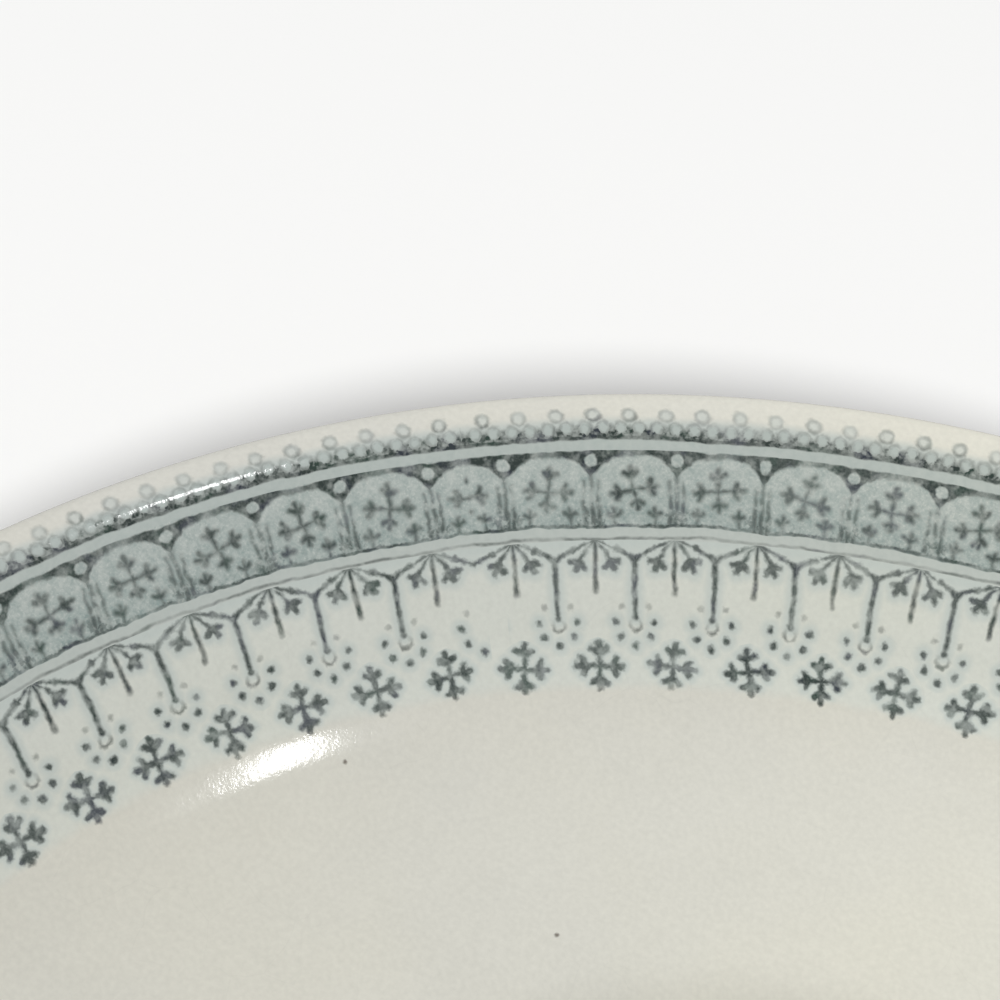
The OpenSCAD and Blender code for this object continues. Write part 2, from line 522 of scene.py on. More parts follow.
class Shader:
    """A material's nodes, with short calls for the sums that draw a pattern."""

    # The mix node's sockets for colours, which share their names with others
    MIX_A = 6
    MIX_B = 7
    MIX_OUT = 2

    def __init__(self, name):
        self.material = bpy.data.materials.new(name)
        self.material.use_nodes = True
        self.tree = self.material.node_tree
        self.bsdf = self.tree.nodes["Principled BSDF"]

    def node(self, kind, **settings):
        n = self.tree.nodes.new(kind)
        for key, value in settings.items():
            setattr(n, key, value)
        return n

    def feed(self, socket, value):
        if isinstance(value, bpy.types.NodeSocket):
            self.tree.links.new(value, socket)
        else:
            socket.default_value = value

    def feed_all(self, node, values):
        for socket, value in zip(node.inputs, values):
            self.feed(socket, value)
        return node

    def math(self, operation, *values, clamp=False):
        n = self.node("ShaderNodeMath", operation=operation, use_clamp=clamp)
        return self.feed_all(n, values).outputs[0]

    def vec(self, operation, *values):
        n = self.feed_all(self.node("ShaderNodeVectorMath", operation=operation), values)
        return n.outputs["Value" if operation in ("LENGTH", "DISTANCE", "DOT_PRODUCT") else "Vector"]

    def fade(self, value, low, high, at_low=0.0, at_high=1.0):
        """Runs softly from one result to another while the value goes from low to high."""
        n = self.node("ShaderNodeMapRange", interpolation_type="SMOOTHSTEP")
        return self.feed_all(n, (value, low, high, at_low, at_high)).outputs[0]

    def noise(self, place, kind, output="Fac"):
        n = self.node("ShaderNodeTexNoise")
        self.feed(n.inputs["Vector"], place)
        n.inputs["Scale"].default_value, n.inputs["Detail"].default_value = kind
        return n.outputs[output]

    def cells(self, place, scale, feature):
        n = self.node("ShaderNodeTexVoronoi", feature=feature)
        self.feed(n.inputs["Vector"], place)
        n.inputs["Scale"].default_value = scale
        return n.outputs

    def chance(self, value):
        n = self.node("ShaderNodeTexWhiteNoise", noise_dimensions="1D")
        self.feed(n.inputs["W"], value)
        return n.outputs["Value"]

    def mix(self, share, a, b, blend="MIX"):
        n = self.node("ShaderNodeMix", data_type="RGBA", blend_type=blend)
        self.feed(n.inputs["Factor"], share)
        self.feed(n.inputs[self.MIX_A], a)
        self.feed(n.inputs[self.MIX_B], b)
        return n.outputs[self.MIX_OUT]

    def split(self, vector):
        return self.feed_all(self.node("ShaderNodeSeparateXYZ"), (vector,)).outputs

    def join(self, x, y, z=0.0):
        return self.feed_all(self.node("ShaderNodeCombineXYZ"), (x, y, z)).outputs[0]

    def turned(self, p, centre, angle):
        n = self.node("ShaderNodeVectorRotate", rotation_type="Z_AXIS")
        self.feed(n.inputs["Vector"], p)
        n.inputs["Center"].default_value = (*centre, 0.0)
        self.feed(n.inputs["Angle"], angle)
        return n.outputs[0]

    def bump(self, height, size):
        """Raises the surface by a height from 0 to 1, of a size in millimetres."""
        n = self.node("ShaderNodeBump")
        n.inputs["Distance"].default_value = size * MM
        n.inputs["Strength"].default_value = 1.0
        self.feed(n.inputs["Height"], height)
        self.feed(self.bsdf.inputs["Normal"], n.outputs["Normal"])

    def scaled(self, value, by, plus):
        return self.math("MULTIPLY_ADD", value, by, plus)

    def swing(self, value, size, middle=0.0):
        """A value from 0 to 1 as a swing of this size about a middle."""
        return self.scaled(value, size, middle - size / 2)

    def chain(self, operation, values):
        out = values[0]
        for value in values[1:]:
            out = self.math(operation, out, value)
        return out

    def times(self, *values):
        return self.chain("MULTIPLY", values)

    def nearest(self, *distances):
        return self.chain("MINIMUM", distances)

    def most(self, *values):
        return self.chain("MAXIMUM", values)

    def between(self, value, low, high, soft):
        """1 between two heights, with soft edges."""
        rise = self.fade(value, low - soft, low + soft)
        return self.times(rise, self.fade(value, high - soft, high + soft, 1.0, 0.0))

    # Distances to dots, rings and strokes, negative inside
    def far(self, p, at):
        return self.vec("DISTANCE", p, (*at, 0.0))

    def dot(self, p, at, radius):
        return self.math("SUBTRACT", self.far(p, at), radius)

    def ring(self, distance, radius, half_w):
        return self.math("SUBTRACT", self.math("ABSOLUTE", self.math("SUBTRACT", distance, radius)), half_w)

    def stroke(self, p, a, b, start, end=None):
        """A stroke from a to b whose half width goes from start to end."""
        end = start if end is None else end
        d = (b[0] - a[0], b[1] - a[1])
        size = d[0] ** 2 + d[1] ** 2
        off = self.vec("SUBTRACT", p, (*a, 0.0))
        along = self.vec("DOT_PRODUCT", off, (d[0] / size, d[1] / size, 0.0))
        along = self.math("ADD", along, 0.0, clamp=True)
        away = self.vec("LENGTH", self.vec("MULTIPLY_ADD", along, (-d[0], -d[1], 0.0), off))
        return self.math("SUBTRACT", away, start if end == start else self.scaled(along, end - start, start))

    def leaf(self, p, at, angle, size):
        """A three-lobed leaf at a place, its middle lobe pointing at an angle."""
        root_w, tip_w = 0.25 * size, 0.165 * size
        middle_reach, side_reach = 0.44 * size, 0.4 * size
        side_turn = 68.0
        lobes = []
        for turn, reach in ((0.0, middle_reach), (side_turn, side_reach), (-side_turn, side_reach)):
            tip = at + reach * heading(angle + turn)
            lobes.append(self.stroke(p, at, tip.tolist(), root_w, tip_w))
        return self.nearest(*lobes)


# Glaze; a fade is given as low, high, and where they aren't 0 and 1, the results there

def crazed(sh, place, tone):
    """The tone with a few hairlines between cells some millimetres across."""
    bend = 1.6 * MM
    hairline = (0.004, 0.014, 1.0, 0.0)
    areas = (0.5, 0.66)
    darkening = -0.03
    bent = sh.vec("MULTIPLY_ADD", sh.noise(place, CRAZE_BENDS, "Color"), (bend, bend, bend), place)
    gap = sh.cells(bent, CRAZE_CELLS, "DISTANCE_TO_EDGE")["Distance"]
    lines = sh.times(sh.fade(gap, *hairline), sh.fade(sh.noise(place, CRAZE_AREAS), *areas))
    return sh.scaled(lines, darkening, tone)


def specked(sh, place, colour):
    """The colour with iron specks, few and small."""
    lucky = (0.72, 1.0)
    largest = 0.024
    edge = (-0.006, 0.003, 1.0, 0.0)
    strength = 0.75
    cells = sh.cells(place, SPECK_CELLS, "F1")
    size = sh.times(sh.fade(sh.split(cells["Color"])[0], *lucky), largest)
    speck = sh.fade(sh.math("SUBTRACT", cells["Distance"], size), *edge)
    return sh.mix(sh.times(speck, strength), colour, SPECK)


def waved(sh, place, peel):
    """Height of the glaze: slow waves with ripples, peel and sparkles on them."""
    waves = sh.noise(place, SLOW_WAVES)
    for kind, share in ((RIPPLES, RIPPLE_SHARE), (PEEL, peel), (SPARKLES, SPARKLE_SHARE)):
        waves = sh.scaled(sh.noise(place, kind), share, waves)
    return waves


def glaze(sh, peel=PEEL_SHARE):
    """Place and colour of the glazed cream ground, with the glaze's gloss and waves set on the shader."""
    cool_to_warm = (0.3, 0.7)
    cream_share = 0.5
    patch_swing, grain_swing = 0.05, 0.16
    # Painted light: the colour is lighter above a height near the top, over the lip, standing in for the lip
    # catching more light than the dish
    lip_painted_light = (20.3 * MM, 21.4 * MM, 1.0, 1.07)
    place = sh.node("ShaderNodeTexCoord").outputs["Object"]
    patchy = sh.noise(place, PATCHES)
    colour = sh.mix(sh.fade(sh.noise(place, CLOUDS), *cool_to_warm), CREAM_COOL, CREAM_WARM)
    colour = sh.mix(cream_share, colour, CREAM)
    grain = sh.swing(sh.noise(place, GRAIN), grain_swing)
    tone = crazed(sh, place, sh.math("ADD", sh.swing(patchy, patch_swing, 1.0), grain))
    # Painted light: lighter towards the top, over the lip
    tone = sh.times(tone, sh.fade(sh.split(place)[2], *lip_painted_light))
    colour = sh.mix(1.0, colour, sh.join(tone, tone, tone), "MULTIPLY")
    colour = specked(sh, place, colour)
    sh.feed(sh.bsdf.inputs["Roughness"], sh.scaled(patchy, ROUGH_SPREAD, LEAST_ROUGH))
    sh.bsdf.inputs["IOR"].default_value = GLAZE_IOR
    sh.bump(waved(sh, place, peel), WAVE_H)
    return place, colour


def plain_glaze(name, grains=()):
    """Glaze with no print, and with dark grains in it that are given down the face and by angle."""
    rag = 0.16 * MM
    edge = (0.12 * MM, 0.3 * MM, 0.8, 0.0)
    sh = Shader(name)
    place, colour = glaze(sh)
    for down, angle in grains:
        r, z, _, _ = on_face(down)
        y, x = r * heading(angle)
        gap = sh.vec("DISTANCE", place, (x * MM, y * MM, z * MM))
        gap = sh.scaled(sh.noise(place, GRAIN_EDGES), rag, gap)
        colour = sh.mix(sh.fade(gap, *edge), colour, SPECK)
    sh.feed(sh.bsdf.inputs["Base Color"], colour)
    return sh.material


# Print

class Print(Shader):
    """Glazed ground with a printed band on it.

    Places are in millimetres: across from the middle of a repeat, and down the face from the lip's edge.
    """

    # Push of the broad noise, as a share of the fine one's
    BROAD_SHARE = 1.6
    # Ragged edge of transferred ink: how far two noises move it, and its middle
    BLOT_RAG = 0.34
    GRIT_RAG = 0.12
    RAG_SHIFT = -0.23
    # Uneven weight of the ink, by three noises
    MOTTLE_WEIGHT = (0.3, 0.6, 0.62, 1.0)
    GRIT_WEIGHT = 0.4
    CLOUD_WEIGHT = (0.3, 0.7, 0.88, 1.0)
    # Where the ink's shade goes from green to plain, and on to blue
    TO_PLAIN = (0.34, 0.48)
    TO_BLUE = (0.52, 0.68)

    def __init__(self, name, width, wobble, shift=0.0, peel=PEEL_SHARE):
        super().__init__(name)
        self.place, self.ground = glaze(self, peel)
        turn, down, _ = self.split(self.node("ShaderNodeUVMap", uv_map="print").outputs[0])
        self.turn = self.math("ADD", turn, shift)
        self.cell = self.math("FLOOR", self.turn)
        near = self.math("SUBTRACT", self.math("SUBTRACT", self.turn, self.cell), 0.5)
        p = self.join(self.times(near, width), down)
        for kind, size in ((BROAD_PUSH, wobble * self.BROAD_SHARE), (FINE_PUSH, wobble)):
            push = self.vec("SUBTRACT", self.noise(self.place, kind, "Color"), (0.5, 0.5, 0.5))
            p = self.vec("MULTIPLY_ADD", push, (size, size, 0.0), p)
        self.p = p
        across, self.y, _ = self.split(p)
        # Both halves of a repeat, laid on each other
        self.side = self.math("ABSOLUTE", across)
        self.folded = self.join(self.side, self.y)
        self.grit = self.noise(self.place, INK_GRIT)
        self.blot = self.noise(self.place, INK_BLOTS)
        self.mottle = self.noise(self.place, INK_MOTTLE)
        self.patch = self.noise(self.place, INK_PATCHES)
        rag = self.scaled(self.grit, self.GRIT_RAG, self.RAG_SHIFT)
        self.rag = self.scaled(self.blot, self.BLOT_RAG, rag)
        weight = self.fade(self.mottle, *self.MOTTLE_WEIGHT)
        weight = self.math("ADD", weight, self.swing(self.grit, self.GRIT_WEIGHT))
        clouds = self.fade(self.noise(self.place, INK_CLOUDS), *self.CLOUD_WEIGHT)
        self.weight = self.math("MULTIPLY", weight, clouds, clamp=True)

    def ink(self, distance, soft=0.13, ragged=1.0):
        """Weight of the ink in a shape that is given by its distance."""
        return self.fade(self.scaled(self.rag, ragged, distance), -soft, soft, 1.0, 0.0)

    def haze(self, share):
        """The ground tinted by the print's colour, which the glaze has carried a little way."""
        self.ground = self.mix(share, self.ground, self.mix(1.0, self.ground, HAZE, "MULTIPLY"))

    def close(self, dark, wash, halo):
        """Lays halo, wash and dark ink on the ground."""
        colour = self.mix(halo, self.ground, HALO)
        colour = self.mix(wash, colour, WASH)
        shade = self.noise(self.place, INK_SHADES)
        tint = self.mix(self.fade(shade, *self.TO_PLAIN), INK_GREEN, INK)
        tint = self.mix(self.fade(shade, *self.TO_BLUE), tint, INK_BLUE)
        colour = self.mix(self.times(dark, self.weight), colour, tint)
        self.feed(self.bsdf.inputs["Base Color"], colour)
        return self.material


def bead_rims(sh, top, low, clump):
    """Ink of the rims of both rows of beads, which is heavier towards their feet."""
    bead_r = 0.4
    top_half_w, low_half_w = 0.11, 0.08
    top_soft, low_soft = 0.16, 0.15
    top_weight = (1.5, 2.3, 0.42, 0.7)
    low_weight = (2.3, 2.9, 0.42, 0.7)
    clump_spread, clump_least = 0.45, 0.6
    top_rim = sh.times(
        sh.ink(sh.ring(top, bead_r, top_half_w), top_soft),
        sh.fade(sh.y, *top_weight),
        sh.scaled(clump, clump_spread, clump_least),
    )
    low_rim = sh.times(sh.ink(sh.ring(low, bead_r, low_half_w), low_soft), sh.fade(sh.y, *low_weight))
    return sh.most(top_rim, low_rim)


def bead_wedges(sh, low, clump):
    """Ink of the dark wedges between the lower beads."""
    outside = (0.27, 0.42)
    start, start_rag = (2.0, 2.5), -0.8
    foot = (3.44, 3.56, 1.0, 0.0)
    blot_weight = (0.3, 0.62, 0.54, 1.14)
    clump_spread, clump_least = 0.2, 0.84
    return sh.times(
        sh.fade(sh.math("ADD", low, sh.rag), *outside),
        sh.fade(sh.scaled(sh.mottle, start_rag, sh.y), *start),
        sh.fade(sh.blot, *blot_weight),
        sh.scaled(clump, clump_spread, clump_least),
        sh.fade(sh.y, *foot),
    )


def bead_material():
    """Two rows of beads, with dark wedges between the lower ones, and a dark and a pale line under them."""
    top_at = (0.0, 1.89)
    low_at = (BEAD_W / 4, 2.78, 0.0)
    low_squash = (0.96, 0.94, 0.0)
    clumps = (0.38, 0.62)
    line_from, line_to, line_soft, line_rag = 3.2, 3.48, 0.08, 0.4
    pale_from = (3.44, 3.54)
    pale_spread, pale_least = 0.3, 0.02
    washed_bead = (0.24, 0.36, 0.2, 0.0)
    halo_below = (1.8, 2.5, 0.0, 0.55)
    halo_in_bead = (0.3, 0.65, 0.36, 0.0)
    sh = Print("bead_ink", BEAD_W, wobble=0.2, peel=BEAD_PEEL_SHARE)
    clump = sh.fade(sh.patch, *clumps)
    top = sh.far(sh.folded, top_at)
    low = sh.vec("LENGTH", sh.vec("MULTIPLY", sh.vec("SUBTRACT", sh.folded, low_at), low_squash))
    line = sh.between(sh.scaled(sh.rag, line_rag, sh.y), line_from, line_to, line_soft)
    dark = sh.most(bead_rims(sh, top, low, clump), bead_wedges(sh, low, clump), line)
    pale = sh.times(sh.fade(sh.y, *pale_from), sh.scaled(sh.blot, pale_spread, pale_least))
    halo = sh.most(sh.fade(sh.y, *halo_below), sh.fade(top, *halo_in_bead))
    return sh.close(dark, sh.most(sh.fade(low, *washed_bead), pale), halo)


def arcade_spandrel(sh):
    """Ink of the dark ground above an arch, with a pale roundel where two arches meet."""
    top = (4.06, 4.2)
    arch_top, arch_rise = 4.5, 1.2
    arch_half, arch_power = 2.6, 3.2
    arch_soft = 0.14
    roundel_at, roundel_rag = (ARCADE_W / 2, 4.78), 0.3
    roundel_edge = (0.31, 0.48, 0.05, 1.02)
    foot_weight = (5.3, 6.0, 1.0, 0.6)
    crown_weight, crown_rag = (0.7, 1.9, 0.6, 1.0), 1.2
    arch = sh.math("POWER", sh.math("DIVIDE", sh.side, arch_half), arch_power)
    arch = sh.scaled(arch, arch_rise, arch_top)
    return sh.times(
        sh.ink(sh.math("SUBTRACT", sh.y, arch), arch_soft),
        sh.fade(sh.scaled(sh.rag, roundel_rag, sh.far(sh.folded, roundel_at)), *roundel_edge),
        sh.fade(sh.y, *top),
        sh.fade(sh.y, *foot_weight),
        sh.fade(sh.scaled(sh.patch, crown_rag, sh.side), *crown_weight),
    )


def arcade_pillar(sh):
    """Ink of the pillar between two arches, and of a thinner one beside it."""
    middle = ARCADE_W / 2
    head, neck, foot = (middle, 5.3), (middle, 6.2), (middle, 8.9)
    thin_head, thin_foot = (2.3, 6.1), (2.33, 8.9)
    head_w, shaft_w, thin_w = (0.22, 0.13), (0.14, 0.2), (0.1, 0.19)
    soft = 0.16
    weight = (5.4, 8.6, 0.5, 0.85)
    mottle_weight = (0.36, 0.54, 0.4, 1.0)
    pillar = sh.nearest(
        sh.stroke(sh.folded, head, neck, *head_w),
        sh.stroke(sh.folded, neck, foot, *shaft_w),
        sh.stroke(sh.folded, thin_head, thin_foot, *thin_w),
    )
    return sh.times(sh.ink(pillar, soft), sh.fade(sh.y, *weight), sh.fade(sh.mottle, *mottle_weight))


def arcade_leaves(sh):
    """Ink of the flower under an arch, turned a little by chance, and of a sprig on each side of it."""
    middle = (0.0, 6.65)
    stem_w = 0.13
    # End of a stem, place of its leaf, the way that the leaf points, and its size
    stems = (
        ((0.0, 5.7), (0.0, 5.66), -90.0, 1.12),
        ((0.95, 6.6), (1.0, 6.6), -3.0, 1.12),
        ((0.0, 7.3), (0.0, 7.34), 90.0, 1.0),
    )
    sprig_at, sprig_foot, sprig_w = (1.32, 8.2), (1.32, 8.75), 0.1
    sprig_angle, sprig_size = -90.0, 0.95
    turn_swing = 0.4
    weight_spread, weight_least = 0.15, 0.82
    soft = 0.2
    luck = sh.chance(sh.cell)
    across, down, _ = sh.split(sh.turned(sh.p, middle, sh.swing(luck, turn_swing)))
    q = sh.join(sh.math("ABSOLUTE", across), down)
    shapes = [
        sh.leaf(sh.folded, sprig_at, sprig_angle, sprig_size),
        sh.stroke(sh.folded, sprig_at, sprig_foot, sprig_w),
    ]
    for end, leaf_at, angle, size in stems:
        shapes.append(sh.stroke(q, middle, end, stem_w))
        shapes.append(sh.leaf(q, leaf_at, angle, size))
    return sh.times(sh.ink(sh.nearest(*shapes), soft), sh.scaled(luck, weight_spread, weight_least))


def arcade_footing(sh):
    """Ink of the scrub at the pillars' feet, and of the ragged line that the arcade stands on."""
    scrub_side = (1.3, 2.5, 0.1, 1.0)
    scrub_from, scrub_to, scrub_soft = 7.9, 8.9, 0.5
    scrub_weight = (0.46, 0.6, 0.0, 0.8)
    base_from, base_to, base_soft, base_rag = 8.74, 8.97, 0.09, 0.6
    base_weight = (0.35, 0.55, 0.55, 0.95)
    scrub = sh.times(
        sh.fade(sh.side, *scrub_side),
        sh.between(sh.y, scrub_from, scrub_to, scrub_soft),
        sh.fade(sh.blot, *scrub_weight),
    )
    base = sh.between(sh.scaled(sh.rag, base_rag, sh.y), base_from, base_to, base_soft)
    return sh.most(scrub, sh.times(base, sh.fade(sh.patch, *base_weight)))


def arcade_wash(sh):
    """Weight of the wash, which is deeper towards the foot; grains of bare ground show through it."""
    mottle_spread, grit_spread = 0.7, 0.7
    deeper = (5.0, 8.9, -0.06, 0.12)
    salt = (0.54, 0.72, 0.0, 0.2)
    thinning = 0.38
    depth = sh.scaled(sh.mottle, mottle_spread, sh.fade(sh.y, *deeper))
    depth = sh.math("SUBTRACT", depth, sh.fade(sh.noise(sh.place, WASH_SALT), *salt))
    return sh.scaled(sh.grit, grit_spread, sh.math("SUBTRACT", depth, thinning))


def arcade_material():
    """Arches on a washed ground, with a pale and a thin line below."""
    ground_end = (8.94, 9.02, 1.0, 0.0)
    pale_from, pale_to, pale_soft = 8.98, 9.55, 0.06
    pale_spread, pale_least = 0.2, -0.02
    thin_from, thin_to, thin_soft = 9.54, 9.73, 0.08
    thin_weight = (0.4, 0.55, 0.4, 0.7)
    halo = 0.5
    sh = Print("arcade_ink", ARCADE_W, wobble=0.3)
    ground = sh.fade(sh.y, *ground_end)
    drawn = sh.most(arcade_spandrel(sh), arcade_pillar(sh), arcade_leaves(sh), arcade_footing(sh))
    thin = sh.times(sh.between(sh.y, thin_from, thin_to, thin_soft), sh.fade(sh.patch, *thin_weight))
    pale = sh.times(
        sh.between(sh.y, pale_from, pale_to, pale_soft),
        sh.scaled(sh.blot, pale_spread, pale_least),
    )
    dark = sh.most(sh.times(drawn, ground), thin)
    return sh.close(dark, sh.most(sh.times(ground, arcade_wash(sh)), pale), halo)


def fringe_fan(sh):
    """Distance to a fan: two bent arms with a knot, and two veins that end in leaves."""
    arm_from, arm_bend, arm_to = (0.0, 9.7), (1.3, 10.3), (FRINGE_W / 2, 10.84)
    knot_from, knot_to = (1.3, 10.28), (1.72, 10.46)
    vein_from, vein_bend, vein_to = (0.0, 9.72), (0.5, 10.25), (0.95, 10.95)
    arm_w, arm_end_w, knot_w = 0.1, 0.13, (0.2, 0.14)
    vein_w, vein_end_w = 0.09, (0.1, 0.18)
    leaf_at, leaf_angle, leaf_size = (1.0, 11.08), 64.0, 1.25
    return sh.nearest(
        sh.stroke(sh.folded, arm_from, arm_bend, arm_w),
        sh.stroke(sh.folded, arm_bend, arm_to, arm_end_w),
        sh.stroke(sh.folded, knot_from, knot_to, *knot_w),
        sh.stroke(sh.folded, vein_from, vein_bend, vein_w),
        sh.stroke(sh.folded, vein_bend, vein_to, *vein_end_w),
        sh.leaf(sh.folded, leaf_at, leaf_angle, leaf_size),
    )


def fringe_pendant(sh):
    """Distances to a pendant's stem, to the ring under it, to its dots and to its faint dots."""
    x = FRINGE_W / 2
    hook_from, hook_to, hook_w = (x - 0.34, 10.7), (x, 11.1), 0.15
    stem_from, stem_to, stem_w = (x, 10.84), (x, 14.5), (0.18, 0.16)
    tip_at, tip_r = (x, 14.52), 0.22
    ring_at, ring_r, ring_half_w = (x, 14.98), 0.38, 0.1
    # Places and radii of the dots on one side, and of the one below
    dots = (((x, 16.3), 0.25), ((x - 1.0, 15.75), 0.24), ((x - 1.27, 14.8), 0.22))
    faint_at, faint_r = (x - 0.83, 13.85), 0.19
    # Where the print's two ends meet, a pendant is missing, with the dots on its right
    gone = 2.0
    lost_stem = (0.1, 0.16, gone, 0.0)
    lost_from, lost_to, lost_soft = 0.1, 0.33, 0.02
    lost = sh.fade(sh.math("PINGPONG", sh.turn, REPEATS / 2), *lost_stem)
    lost_dots = sh.between(sh.math("FLOORED_MODULO", sh.turn, REPEATS), lost_from, lost_to, lost_soft)
    stem = sh.nearest(
        sh.stroke(sh.folded, hook_from, hook_to, hook_w),
        sh.stroke(sh.folded, stem_from, stem_to, *stem_w),
        sh.dot(sh.folded, tip_at, tip_r),
    )
    return (
        sh.math("ADD", stem, lost),
        sh.math("ADD", sh.ring(sh.far(sh.folded, ring_at), ring_r, ring_half_w), lost),
        sh.scaled(lost_dots, gone, sh.nearest(*(sh.dot(sh.folded, at, r) for at, r in dots))),
        sh.scaled(lost_dots, gone, sh.dot(sh.folded, faint_at, faint_r)),
    )


def fringe_material():
    """Fans with a short stroke under each, and pendants with rings and dots between them."""
    apex, apex_r, apex_soft, apex_weight = (0.0, 9.9), 0.34, 0.25, 0.6
    short_end, short_w = (0.0, 13.0), (0.12, 0.17)
    short_weight = (12.7, 13.3, 1.0, 0.5)
    ring_weight = (14.6, 15.4, 0.2, 0.8)
    fan_weight, faint_weight = 0.94, 0.5
    line_rag = 0.5
    luck_spread, luck_least = 0.12, 0.9
    halo_near = (0.0, 0.7, 0.48, 0.06)
    halo_top = (10.0, 11.4, 0.5, 0.0)
    sh = Print("fringe_ink", FRINGE_W, wobble=0.2, shift=0.5)
    sh.haze(1.0)
    fan = fringe_fan(sh)
    stem, ring, dots, faint = fringe_pendant(sh)
    short = sh.stroke(sh.folded, apex, short_end, *short_w)
    dark = sh.most(
        sh.times(sh.ink(fan), fan_weight),
        sh.times(sh.ink(sh.dot(sh.folded, apex, apex_r), apex_soft), apex_weight),
        sh.times(sh.ink(short, ragged=line_rag), sh.fade(sh.y, *short_weight)),
        sh.ink(stem, ragged=line_rag),
        sh.times(sh.ink(ring), sh.fade(sh.y, *ring_weight)),
        sh.ink(dots),
        sh.times(sh.ink(faint), faint_weight),
    )
    dark = sh.times(dark, sh.scaled(sh.chance(sh.cell), luck_spread, luck_least))
    near = sh.fade(sh.nearest(fan, stem, dots), *halo_near)
    return sh.close(dark, 0.0, sh.most(near, sh.fade(sh.y, *halo_top)))


def floret_material():
    """Florets of four leaves, each turned a little by chance."""
    middle = (0.0, 17.6)
    hub, arm_end, arm_w = (0.0, 0.0), (0.84, 0.0), 0.18
    leaf_at, leaf_angle, leaf_size = (0.88, 0.0), 0.0, 1.25
    luck_seed, turn_swing = 0.3, 0.24
    luck_spread, luck_least = 0.08, 0.92
    haze_end = (18.3, 19.3, 1.0, 0.0)
    halo_near = (0.0, 0.5, 0.5, 0.1)
    halo_end = (18.6, 19.3, 1.0, 0.0)
    sh = Print("floret_ink", FLORET_W, wobble=0.3, shift=0.5)
    sh.haze(sh.fade(sh.y, *haze_end))
    luck = sh.chance(sh.math("ADD", sh.cell, luck_seed))
    spun = sh.turned(sh.p, middle, sh.swing(luck, turn_swing))
    # All four arms, laid on one half of an arm
    a, b, _ = sh.split(sh.vec("ABSOLUTE", sh.vec("SUBTRACT", spun, (*middle, 0.0))))
    q = sh.join(sh.math("MAXIMUM", a, b), sh.math("MINIMUM", a, b))
    arm = sh.nearest(sh.stroke(q, hub, arm_end, arm_w), sh.leaf(q, leaf_at, leaf_angle, leaf_size))
    dark = sh.times(sh.ink(arm), sh.scaled(luck, luck_spread, luck_least))
    return sh.close(dark, 0.0, sh.times(sh.fade(arm, *halo_near), sh.fade(sh.y, *halo_end)))


def clay_material():
    """Bare fired clay, as on the foot ring: matt, granular and a little stained."""
    plain_to_warm = (0.3, 0.7)
    stained = (0.55, 0.75, 0.0, 0.4)
    rough_spread, least_rough = 0.2, 0.68
    grain_h = 0.08
    sh = Shader("bare_clay")
    place = sh.node("ShaderNodeTexCoord").outputs["Object"]
    colour = sh.mix(sh.fade(sh.noise(place, CLAY_CLOUDS), *plain_to_warm), CLAY, CLAY_WARM)
    grain = sh.noise(place, CLAY_GRAIN)
    colour = sh.mix(sh.fade(grain, *stained), colour, CLAY_STAIN)
    sh.feed(sh.bsdf.inputs["Base Color"], colour)
    sh.feed(sh.bsdf.inputs["Roughness"], sh.scaled(grain, rough_spread, least_rough))
    sh.bump(grain, grain_h)
    return sh.material


# Pieces

def finish_piece(obj, material, slot, *nodes):
    obj.data.materials.append(material)
    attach(obj, "root")
    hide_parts(*nodes)


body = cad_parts["biscuit_body"]
body.data.materials.clear()
body.data.materials.append(clay_material())

for name, rows, material, node in (
    ("glaze_face", face_rows, plain_glaze("glaze_on_face", GRAINS), "glaze_coat"),
    ("glaze_back", back_rows, plain_glaze("glaze_on_back"), "glaze_coat"),
    ("glaze_in_foot", hollow_rows, plain_glaze("glaze_in_hollow"), "foot_hollow_glaze"),
):
    finish_piece(revolved(name, rows), material, "glaze", node)

bead_top, arcade_top, fringe_top, end = map(level, (BEAD_FROM, ARCADE_FROM, FRINGE_FROM, FLORET_TO))
beads = printed_band("print_beads", SEAM_ANGLE, bead_top, arcade_top, bead_across, rows=24, bake_rows=10)
arcade = printed_band("print_arcade", SEAM_ANGLE, arcade_top, fringe_top, arcade_across, rows=16, bake_rows=8)
fringe = printed_band("print_fringe", FAN_ANGLE, fringe_top, interlocked, fringe_across, rows=20, bake_rows=8)
florets = printed_band("print_florets", FAN_ANGLE, interlocked, end, fringe_across, rows=16, bake_rows=10)
finish_piece(beads, bead_material(), "dark_ink", "bead_print")
finish_piece(arcade, arcade_material(), "pale_ink", "arcade_print")
finish_piece(fringe, fringe_material(), "dark_ink", "fringe_print")
finish_piece(florets, floret_material(), "dark_ink", "floret_print")


# Stage

def stage_floor():
    """Plain pale ground, which takes the shadow."""
    mesh = bpy.data.meshes.new("floor")
    signs = ((-1, -1), (1, -1), (1, 1), (-1, 1))
    mesh.from_pydata([(x * STAGE_HALF, y * STAGE_HALF, 0.0) for x, y in signs], [], [(0, 1, 2, 3)])
    floor = link("floor", mesh)
    sh = Shader("floor_paper")
    sh.bsdf.inputs["Base Color"].default_value = PAPER
    sh.bsdf.inputs["Roughness"].default_value = 1.0
    sh.bsdf.inputs["Specular IOR Level"].default_value = 0.0
    mesh.materials.append(sh.material)
    floor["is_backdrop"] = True
    return floor


def placed(axes, place):
    """Matrix that puts an object at a place with these three directions as its own axes."""
    matrix = Matrix.Identity(4)
    for row in range(3):
        matrix[row] = (*(float(axis[row]) for axis in axes), float(place[row]))
    return matrix


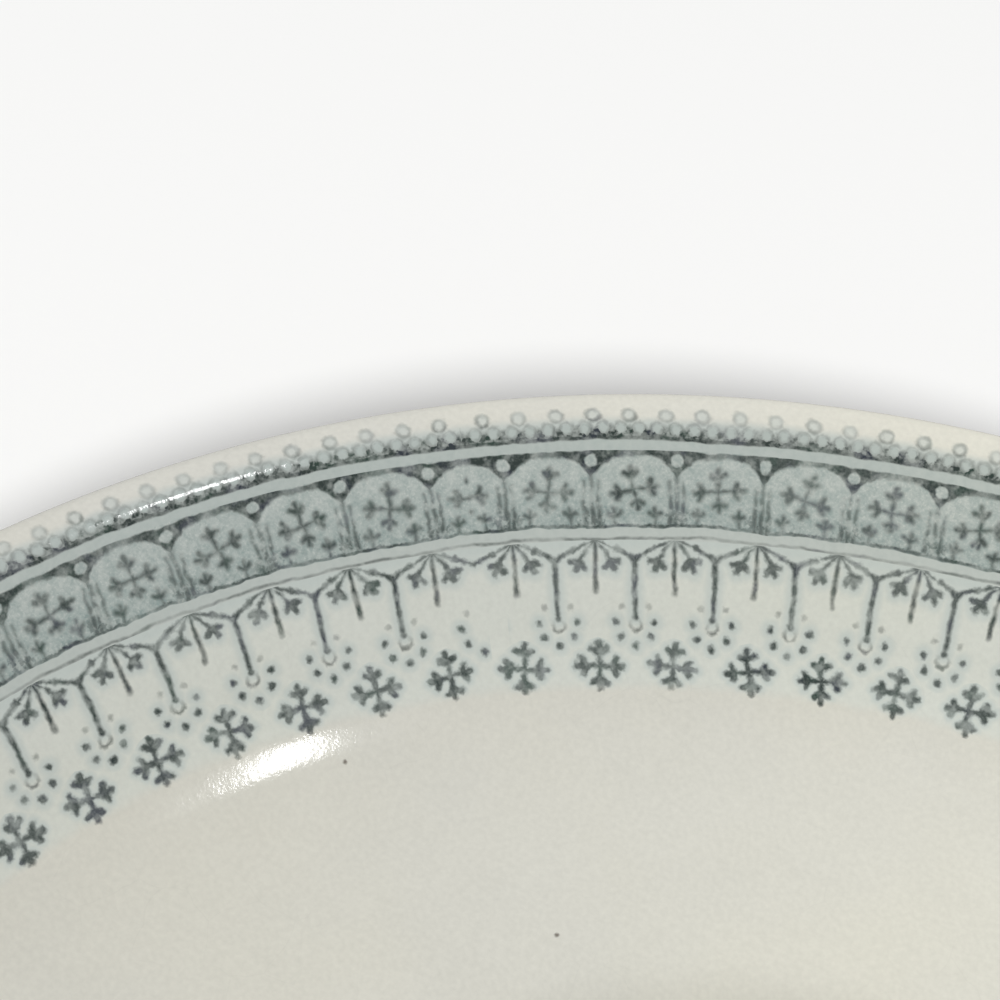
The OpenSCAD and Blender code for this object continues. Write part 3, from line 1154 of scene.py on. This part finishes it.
def lamp(name, place, target, size, share, along=(0.0, 1.0, 0.0), colour=(1.0, 1.0, 1.0)):
    """An area lamp whose length lies along a direction.

    It gives a level surface at its target this share of plain light.
    """
    gap = np.array(place) - np.array(target)
    distance = float(np.linalg.norm(gap))
    z = gap / distance
    y = np.array(along) - z * float(np.dot(along, z))
    y /= np.linalg.norm(y)
    data = bpy.data.lights.new(name, "AREA")
    data.shape = "ELLIPSE"
    data.size, data.size_y = size
    data.color = colour
    data.energy = share * math.pi ** 2 * distance ** 2 / z[2]
    obj = link(name, data)
    obj.matrix_world = placed((np.cross(y, z), y, z), place)
    return obj


def pool_light():
    """A soft round pool of light from straight above."""
    data = bpy.data.lights.new("pool", "SPOT")
    data.spot_size = math.radians(POOL_ANGLE)
    data.spot_blend = 1.0
    data.color = POOL_COLOUR
    data.shadow_soft_size = POOL_SOFT
    data.energy = POOL_SHARE * 4 * math.pi ** 2 * POOL_HEIGHT ** 2
    obj = link("pool", data)
    obj.location = (*POOL_AT, POOL_HEIGHT)
    return obj


def only_on(light, *objs):
    """The lamp lights these objects and no others."""
    reach = bpy.data.collections.new(light.name + "_reach")
    for obj in objs:
        reach.objects.link(obj)
    light.light_linking.receiver_collection = reach


def camera():
    ct, st = math.cos(CAMERA_TILT), math.sin(CAMERA_TILT)
    cp, sp = math.cos(CAMERA_PAN), math.sin(CAMERA_PAN)
    ahead = np.array([sp * ct, cp * ct, -st])
    right = np.array([cp, -sp, 0.0])
    up = np.cross(right, ahead)
    c, s = math.cos(CAMERA_ROLL), math.sin(CAMERA_ROLL)
    data = bpy.data.cameras.new("camera")
    data.sensor_width = SENSOR_W
    data.lens = SENSOR_W * FOCAL_PX / PHOTO_PX
    data.clip_start = CLIP_START
    data.clip_end = CLIP_END
    obj = link("camera", data)
    obj.matrix_world = placed((c * right + s * up, -s * right + c * up, -ahead), np.array(CAMERA_AT) * MM)
    bpy.context.scene.camera = obj


def studio_world():
    """Even white light from all round."""
    world = bpy.data.worlds.new("studio")
    bpy.context.scene.world = world
    world.use_nodes = True
    background = world.node_tree.nodes["Background"]
    background.inputs["Color"].default_value = WHITE
    background.inputs["Strength"].default_value = WORLD_STRENGTH


floor = stage_floor()
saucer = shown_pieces()
origin = (0.0, 0.0, 0.0)
softbox = lamp("softbox", SOFTBOX_AT, origin, SOFTBOX_SIZE, SOFTBOX_SHARE, colour=SOFTBOX_COLOUR)
pool = pool_light()
glint_at = GLINT_ON + GLINT_DISTANCE * GLINT_FROM
glint = lamp("glint", glint_at, GLINT_ON, GLINT_SIZE, GLINT_SHARE, GLINT_ALONG)
# Only the small lamp shows in the glaze as a highlight
for light in (softbox, pool, glint):
    light.visible_glossy = light is glint
    only_on(light, *saucer)
floor_light = lamp("floor_light", FLOOR_LIGHT_AT, origin, FLOOR_LIGHT_SIZE, FLOOR_LIGHT_SHARE)
only_on(floor_light, floor)
floor.visible_glossy = False
studio_world()
camera()
bpy.context.scene.view_settings.view_transform = "Standard"
